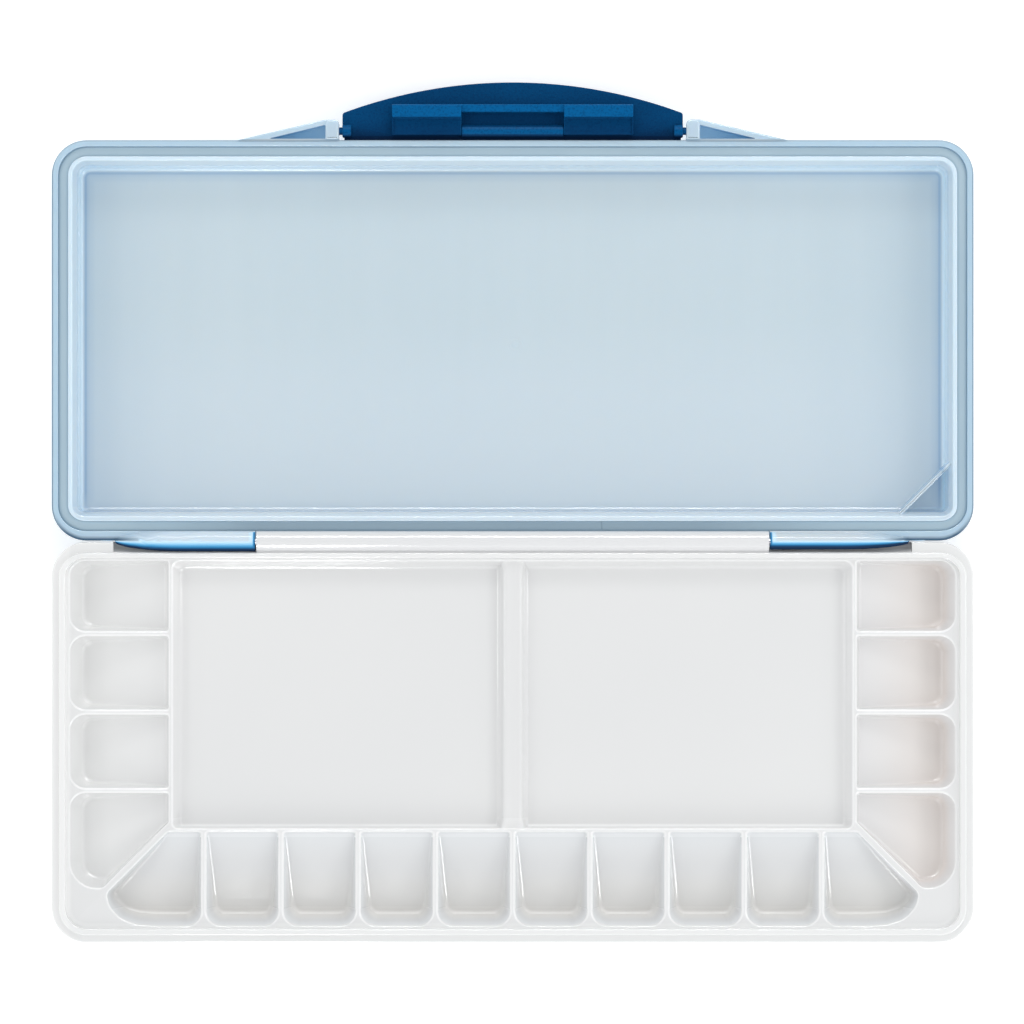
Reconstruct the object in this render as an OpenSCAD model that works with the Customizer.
// Paint palette case: a tray with wells and mixing areas, and a hinged lid lying open behind it.
// X runs left to right, Y from the tray's front (-) to the lid (+), and Z up from the table.
// The tray is centred on X = Y = 0. "Rear" is always the hinge side of the tray or the lid.

/* [Case] */
// Width of the tray and of the lid
case_w = 290; // [280:1:300]
// Depth of the tray and of the lid, front to rear
case_d = 126; // [124:1:128]
// Height of the parting face, where tray and lid meet, above the table
part_z = 15.4; // [15.2:0.1:16.4]
// Corner radius of the outer edge
corner_r = 11; // [10:0.5:13]

/* [Tray] */
// Thickness of the flange around the tray
flange_t = 2.5; // [2.3:0.1:2.6]
// How far the skirt stands in from the flange edge
skirt_in = 3.5; // [3:0.1:3.8]
// Height of the sealing lip above the flange
lip_h = 1.7; // [1.2:0.1:1.7]
// Width of the sealing lip
lip_w = 2.2; // [1.6:0.1:2.2]
// Thickness of the moulded floors
floor_t = 1.8; // [1.4:0.1:2]

/* [Wells] */
// Number of straight wells along the front, between the two corner wells
front_n = 8; // [6:1:8]
// Spacing of the wells along the front
front_pitch = 24.3; // [24:0.1:24.5]
// Spacing of the wells along each side
side_pitch = 24.7; // [24.4:0.1:25]
// Thickness of the walls between wells
wall_t = 1.5; // [1.2:0.1:2]
// Depth of a well at its outer end
deep = 10; // [8:0.5:10]
// Depth of a well at its inner end
shallow = 3; // [2:0.5:4]
// Depth of the mixing areas
mix_depth = 4.5; // [3.5:0.5:5]
// Width of the divider between the mixing areas
mid_w = 8; // [6:0.5:10]

/* [Lid] */
// Thickness of the lid panel
panel_t = 1.8; // [1.4:0.1:2.4]
// Height of the rim band that holds the seal channel
rim_h = 4.2; // [4:0.1:5]
// Depth of the seal channel
channel_h = 3; // [2.8:0.1:3]
// Thickness of the soft seal
seal_t = 1.3; // [1:0.05:1.3]

/* [Hinge] */
// Radius of the hinge bar and of the knuckles
barrel_r = 3.2; // [3:0.05:3.2]
// Half length of the hinge bar
bar_half = 80.5; // [70:0.5:84]
// Outer end of each knuckle, measured from the middle
knuckle_end = 125.2; // [120:0.2:128]
// Radius of the hinge pins
pin_r = 1; // [0.8:0.05:1.1]

/* [Latch] */
// Half width of the latch plate
latch_half = 53.6; // [50:0.2:56]
// Reach of the latch plate from its pivot to the top of its arc
latch_reach = 15.4; // [14:0.1:15.6]
// Thickness of the latch plate
latch_t = 2.1; // [1.8:0.1:2.2]
// Radius of the latch's stub pins
stub_r = 1.2; // [1:0.05:1.3]

/* [Thumb ring] */
// Outside diameter of the thumb ring
ring_d = 37; // [34:1:40]
// Width of the ring's band
ring_band = 5.5; // [4:0.5:7]
// Thickness of the ring
ring_t = 3.6; // [3:0.2:4]
// Position of the ring's hinge across the tray
ring_x = 26; // [20:1:34]

/* [Hidden] */

navy = [0.04, 0.25, 0.45];
half_w = case_w / 2;
half_d = case_d / 2;
overlap = 0.01;
pin_fit = 0.05;                   // radial clearance around a pin

// hinge axis: just behind the tray's rear edge, level with the parting face
hinge_y = half_d + 0.2;
hinge_z = part_z + 0.05;
barrel_fit = 0.15;                // radial clearance around the barrel
knuckle_x = bar_half + 0.5;       // inner end of a knuckle, and middle of a hinge pin
hinge_pin_half = 9.2;
lid_rear = hinge_y + 0.2;
lid_front = lid_rear + case_d;

// sealing lip and the channel it enters: insets from the case edge, and widths
lip_in = 2.3;
lip_rear_in = 3.4;
lip_rear_w = 2;
channel_in = 2.0;
channel_w = 3.1;
channel_rear_in = 3.1;
channel_rear_w = 3;

// wells: outer and inner ends, and length of the flat floor before the slope
side_out = half_w - 5.6;
side_in = half_w - 36.9;
side_rear = half_d - 5.4;
front_out = -half_d + 5.1;
front_in = -half_d + 34.9;
front_flat = 3.4;
side_flat = 3.8;
deep_z = part_z - deep;
shallow_z = part_z - shallow;
well_inner_r = 0.6;
side_outer_r = 5.3;
front_outer_r = 4.7;
corner_diagonal = half_w - half_d; // y - x on the 45 degree line from the front left corner

// mixing areas
mix_z = part_z - mix_depth;
mix_side = side_in - 1.0;
mix_front = front_in + 0.9;
mix_rear = half_d - 5.7;

// latch pivot, on the ears in front of the lid
pivot_y = lid_front + 2.9;
pivot_z = part_z - 1.4;
// from the pivot to the underside of the tray's flange when the case is shut, with clearance
catch_y = 2 * hinge_z - pivot_z - (part_z - flange_t) + 0.15;
ear_in = latch_half + 1.0;
ear_w = 4.3;
ear_d = 6.2;
ear_h = 5.6;

// thumb ring's hinge
ring_z = 5.0;
lug_y = 8.7;
lug_t = 3;
lug_r = 2.6;
lug_outer = lug_y + lug_t / 2;

// --- outline helpers ---
function unit(v) = v / norm(v);

// arc of radius r, in steps, that rounds the corner between its two neighbours
function fillet(before, corner, after, r, steps) =
    let (
        to_before = unit(before - corner),
        to_after = unit(after - corner),
        half_angle = acos(max(-1, min(1, to_before * to_after))) / 2,
        tangent = r / tan(half_angle),
        centre = corner + unit(to_before + to_after) * r / sin(half_angle),
        first = corner + to_before * tangent - centre,
        last = corner + to_after * tangent - centre,
        start = atan2(first[1], first[0]),
        turn = atan2(last[1], last[0]) - start,
        sweep = turn > 180 ? turn - 360 : turn < -180 ? turn + 360 : turn
    )
    [for (i = [0:steps]) let (a = start + sweep * i / steps) centre + r * [cos(a), sin(a)]];

// an outline with one radius for each corner
function rounded(points, radii, steps) =
    let (n = len(points))
    [for (i = [0:n - 1])
        each fillet(points[(i + n - 1) % n], points[i], points[(i + 1) % n], radii[i], steps)];

// radii start at x0, y0 and go anticlockwise
function rounded_rect(x0, x1, y0, y1, radii, steps) =
    rounded([[x0, y0], [x1, y0], [x1, y1], [x0, y1]], radii, steps);

module centred_rect(half_x, y0, y1, r) {
    polygon(rounded_rect(-half_x, half_x, y0, y1, [r, r, r, r], 7));
}

// frame between two rounded rectangles; w is its width at the sides, w0 at y0 and w1 at y1
module frame_2d(inset, w, y0, y1, w0, w1) difference() {
    centred_rect(half_w - inset, y0, y1, corner_r - inset);
    centred_rect(half_w - inset - w, y0 + w0, y1 - w1, corner_r - inset - w);
}

// --- solid helpers ---
// a [y, z] profile, swept along X
module along_x(half_l, profile) {
    translate([-half_l, 0, 0])
        rotate([90, 0, 90])
        linear_extrude(2 * half_l)
        polygon(profile);
}

// an [x, z] profile, swept over the tray's depth
module along_y(profile) {
    translate([0, half_d, 0])
        rotate([90, 0, 0])
        linear_extrude(case_d)
        polygon(profile);
}

// rod between two x positions, given in either order
module rod_x(xa, xb, y, z, r) {
    translate([min(xa, xb), y, z])
        rotate([0, 90, 0])
        cylinder(h = abs(xb - xa), r = r, $fn = 48);
}

// rod on the thumb ring's hinge axis
module ring_rod(half_l, r, facets = 40) {
    translate([ring_x, half_l, ring_z])
        rotate([90, 0, 0])
        cylinder(h = 2 * half_l, r = r, $fn = facets);
}

// the children and their mirror image
module both_sides() {
    for (s = [0, 1]) mirror([s, 0, 0]) children();
}

// --- tray ---
module well_rect(x0, x1, y0, y1, radii) {
    polygon(rounded_rect(x0, x1, y0, y1, radii, 4));
}

// the wells down the left side: three straight ones and one with a 45 degree end at the corner
module side_wells_2d() {
    straight_n = 3;
    rear_short = 0.6;             // the rearmost well is this much shorter
    radii = [side_outer_r, well_inner_r, well_inner_r, side_outer_r];
    for (i = [0:straight_n - 1]) {
        y1 = side_top(i);
        well_rect(-side_out, -side_in, y1 - side_pitch + wall_t + (i == 0 ? rear_short : 0), y1, radii);
    }
    y0 = -half_d + 17;
    y1 = side_top(straight_n) + 0.5;
    diagonal = corner_diagonal + 0.9;
    polygon(rounded(
        [[-side_out, y1], [-side_out, y0], [y0 - diagonal, y0],
         [-side_in, diagonal - side_in], [-side_in, y1]],
        [side_outer_r, 8.6, 3, 1.2, well_inner_r], 4));
}

// rear end of a side well, counted from the rear
function side_top(i) = side_rear - i * side_pitch;

// the wells along the front: a row of straight ones and one at each corner
module front_wells_2d() {
    half_well = (front_pitch - wall_t) / 2;
    half_n = front_n / 2;
    radii = [front_outer_r, front_outer_r, well_inner_r, well_inner_r];
    for (i = [0:front_n - 1]) {
        x = (i - half_n + 0.5) * front_pitch;
        well_rect(x - half_well, x + half_well, front_out, front_in, radii);
    }
    x0 = -half_w + 16.8;
    x1 = -half_n * front_pitch - wall_t / 2;
    y0 = front_out - 0.15;
    diagonal = corner_diagonal - 1.7;
    both_sides() polygon(rounded(
        [[x1, front_in], [front_in - diagonal, front_in], [x0, x0 + diagonal],
         [x0, -half_d + 12], [x0 + 10.2, y0], [x1, y0]],
        [well_inner_r, 1.2, 3.3, 2.8, 15, front_outer_r], 4));
}

// lengthwise section of a well: flat from the case edge, then sloping up to the inner end
function well_profile(edge, flat_end, inner) =
    let (top = part_z + 4)
    [[edge, deep_z], [flat_end, deep_z], [inner, shallow_z], [inner, top], [edge, top]];

module front_wells() intersection() {
    linear_extrude(part_z + 5) front_wells_2d();
    along_x(half_w, well_profile(-half_d, front_out + front_flat, front_in));
}

module side_wells() both_sides() intersection() {
    linear_extrude(part_z + 5) side_wells_2d();
    along_y(well_profile(-half_w, -side_out + side_flat, -side_in));
}

// the two mixing areas, and the cut that lowers the divider between them
module mixing_areas() {
    both_sides()
        translate([0, 0, mix_z])
        linear_extrude(mix_depth + 5)
        well_rect(-mix_side, -mid_w / 2, mix_front, mix_rear, [2.5, 0.8, 0.8, 2.5]);
    translate([-mid_w / 2 - 0.5, mix_front + 1.5, part_z - 1])
        cube([mid_w + 1, mix_rear - mix_front - 3, 5]);
}

// skirt, flange and sealing lip
module tray_body() {
    linear_extrude(part_z)
        centred_rect(half_w - skirt_in, -half_d + skirt_in, half_d - skirt_in, corner_r - skirt_in);
    translate([0, 0, part_z - flange_t])
        linear_extrude(flange_t)
        centred_rect(half_w, -half_d, half_d, corner_r);
    translate([0, 0, part_z - overlap])
        linear_extrude(lip_h + overlap)
        frame_2d(lip_in, lip_w, -half_d + lip_in, half_d - lip_rear_in, lip_w, lip_rear_w);
}

// hinge bar, on a rail under the rear flange
module hinge_bar() {
    rail_y = half_d - skirt_in - 0.5;
    foot_z = part_z - 5.2;
    top_z = part_z - 0.5;
    rod_x(-bar_half, bar_half, hinge_y, hinge_z, barrel_r);
    along_x(bar_half, [[rail_y, foot_z], [half_d - 2, foot_z],
                       [hinge_y, hinge_z - barrel_r + 0.3], [hinge_y, top_z], [rail_y, top_z]]);
}

// hollow underside: slopes under the wells, flat under the mixing areas
module underside() {
    skirt_t = 1.8;
    wall_in = skirt_in + skirt_t;
    low = deep_z - floor_t - 0.2;
    high = mix_z - floor_t;
    flat_x = side_out - front_flat;
    difference() {
        intersection() {
            translate([0, 0, -1])
                linear_extrude(high + 1)
                centred_rect(half_w - wall_in, -half_d + wall_in, half_d - wall_in, 5.5);
            along_y([[-half_w, -1], [half_w, -1], [half_w, low], [flat_x, low],
                     [side_in, high + overlap], [-side_in, high + overlap],
                     [-flat_x, low], [-half_w, low]]);
            along_x(half_w, [[-half_d, -1], [half_d, -1], [half_d, high + overlap],
                             [front_in, high + overlap], [front_out + front_flat, low],
                             [-half_d, low]]);
        }
        // centre keel, level with the skirt's foot
        translate([-1.2, -half_d, -2]) cube([2.4, case_d, part_z]);
        // lugs for the thumb ring
        for (s = [-1, 1]) translate([0, s * lug_y, 0]) {
            translate([ring_x - lug_r, -lug_t / 2, ring_z]) cube([2 * lug_r, lug_t, 10]);
            ring_rod(lug_t / 2, lug_r);
        }
    }
}

module base_tray() color("white") difference() {
    union() {
        tray_body();
        hinge_bar();
    }
    underside();
    ring_rod(lug_outer + 0.1, pin_r);
    front_wells();
    side_wells();
    mixing_areas();
    for (s = [-1, 1]) {
        // seat for the lid's knuckle
        rod_x(s * bar_half, s * (knuckle_end + 0.4), hinge_y, hinge_z, barrel_r + barrel_fit);
        // hinge pin hole
        rod_x(s * (bar_half - hinge_pin_half), s * (bar_half + 1), hinge_y, hinge_z, pin_r);
    }
}

// --- lid, shown lying open ---
// half section of a knuckle: straight for half its length, then tapering like a bullet
function bullet(l, r, steps = 10) = concat(
    [[0, 0], [r, 0]],
    [for (i = [0:steps]) let (t = i / steps * 0.985) [r * sqrt(1 - t * t), l / 2 + l / 2 * t]],
    [[0, l]]);

module knuckle() {
    translate([knuckle_x, hinge_y, hinge_z])
        rotate([0, 90, 0])
        rotate_extrude($fn = 48)
        polygon(bullet(knuckle_end - knuckle_x, barrel_r));
}

// pillar for the latch pivot, and a gusset with a blind pocket beside it
module ear() {
    pillar_out = ear_in + ear_w;
    gusset_out = ear_in + 32;
    root_y = lid_front - 0.6;
    tip_y = lid_front + ear_d;
    pocket_y = lid_front + 0.5;
    difference() {
        translate([0, 0, part_z - ear_h])
            linear_extrude(ear_h)
            polygon([[gusset_out, root_y], [gusset_out, lid_front - 0.4],
                     [pillar_out, tip_y], [ear_in, tip_y], [ear_in, root_y]]);
        translate([0, 0, part_z - 4])
            linear_extrude(5)
            polygon([[ear_in + 21.3, pocket_y], [pillar_out, lid_front + 4.5],
                     [pillar_out, pocket_y]]);
    }
    translate([ear_in, lid_front + 0.2, part_z - ear_h]) cube([ear_w, ear_d - 0.2, ear_h + 0.8]);
}

// rim band and tub, hollowed by the pan
module lid_shell() {
    tub_in = 5.6;
    pan_in = 7.7;
    pan_rear_in = 8.8;
    difference() {
        union() {
            translate([0, 0, part_z - rim_h])
                linear_extrude(rim_h)
                centred_rect(half_w, lid_rear, lid_front, corner_r);
            linear_extrude(part_z - 1)
                centred_rect(half_w - tub_in, lid_rear + tub_in, lid_front - tub_in, 5.4);
        }
        translate([0, 0, panel_t])
            linear_extrude(part_z)
            centred_rect(half_w - pan_in, lid_rear + pan_rear_in, lid_front - pan_in, 3.6);
    }
}

// diagonal rib across the rear right corner
module corner_rib() intersection() {
    linear_extrude(part_z - 2) centred_rect(half_w - 7, lid_rear + 8, lid_front - 7, 3.6);
    translate([half_w - 15.2, lid_rear + 16.2, 0])
        rotate(45)
        translate([-20, -0.6, 0.5])
        cube([40, 1.2, part_z]);
}

module seal_2d() {
    frame_2d(channel_in, channel_w, lid_rear + channel_rear_in, lid_front - channel_in,
             channel_rear_w, channel_w);
}

module lid() color([0.72, 0.82, 0.9]) difference() {
    union() {
        lid_shell();
        corner_rib();
        both_sides() {
            ear();
            knuckle();
        }
    }
    // seal channel
    translate([0, 0, part_z - channel_h]) linear_extrude(channel_h + 2) seal_2d();
    // clearance for the hinge bar
    rod_x(-bar_half - 0.25, bar_half + 0.25, hinge_y, hinge_z, barrel_r + barrel_fit);
    for (s = [-1, 1]) {
        // hinge pin hole
        rod_x(s * (bar_half - 1), s * (bar_half + 10.5), hinge_y, hinge_z, pin_r + pin_fit);
        // hole for the latch's stub pin
        rod_x(s * (ear_in - 1), s * (ear_in + 2.8), pivot_y, pivot_z, stub_r + 0.06);
    }
}

module lid_gasket() color([0.62, 0.7, 0.75])
    translate([0, 0, part_z - channel_h]) linear_extrude(seal_t) seal_2d();

// --- latch plate, shown pointing outwards; its pivot is the local origin ---
// plate with an arc for its outer edge
module latch_plate() {
    side_reach = 5.7;
    rise = latch_reach - side_reach;
    arc_r = (latch_half * latch_half + rise * rise) / (2 * rise);
    translate([0, 0, -latch_t]) linear_extrude(latch_t) intersection() {
        translate([-latch_half, -1.9]) square([2 * latch_half, latch_reach + 2.5]);
        translate([0, latch_reach - arc_r]) circle(r = arc_r, $fn = 360);
    }
}

module latch_handle() color(navy) translate([0, pivot_y, pivot_z]) {
    hook_x = 27;
    hook_half = 10.9;
    hook_w = 2 * hook_half;
    rail_half = hook_x + hook_half;
    base_z = -0.5;
    boss_r = 2.1;
    latch_plate();
    // rail along the hooks
    translate([-rail_half, 5.8, base_z]) cube([2 * rail_half, 2.4, 4.1]);
    for (s = [-1, 1]) {
        // hook block and its lip
        translate([s * hook_x - hook_half, -1.3, base_z]) cube([hook_w, catch_y + 2, 2.8]);
        translate([s * hook_x - hook_half, catch_y, base_z]) cube([hook_w, 8.1 - catch_y, 5.3]);
        // end boss and stub pin
        rod_x(s * latch_half, s * (latch_half - 2.8), 0, 0, boss_r);
        rod_x(s * (latch_half - 1), s * (ear_in + 2.6), 0, 0, stub_r);
    }
    // rounded pad along the pivot, between the hooks
    rod_x(hook_half - hook_x, hook_x - hook_half, 0, 0, boss_r);
}

// --- hinge pins; side is -1 for left, 1 for right ---
module hinge_pin(side) {
    x = side * knuckle_x;
    rod_x(x - hinge_pin_half, x + hinge_pin_half, hinge_y, hinge_z, pin_r);
}

module hinge_pin_left() color("silver") hinge_pin(-1);

module hinge_pin_right() color("silver") hinge_pin(1);

// --- thumb ring, shown folded flat under the tray ---
module thumb_ring() color(navy) difference() {
    ring_r = ring_d / 2;
    tongue_half = 6.9;
    base_z = ring_z - ring_t / 2;
    union() {
        translate([ring_x + ring_r + 1.5, 0, base_z]) difference() {
            cylinder(h = ring_t, r = ring_r, $fn = 96);
            translate([0, 0, -1]) cylinder(h = ring_t + 2, r = ring_r - ring_band, $fn = 96);
        }
        translate([ring_x, -tongue_half, base_z]) cube([4.5, 2 * tongue_half, ring_t]);
        ring_rod(tongue_half, 2.4, facets = 48);
    }
    ring_rod(8, pin_r + pin_fit);
}

module thumb_ring_pin() color("silver") ring_rod(lug_outer, pin_r);

base_tray();
lid();
lid_gasket();
latch_handle();
hinge_pin_left();
hinge_pin_right();
thumb_ring();
thumb_ring_pin();
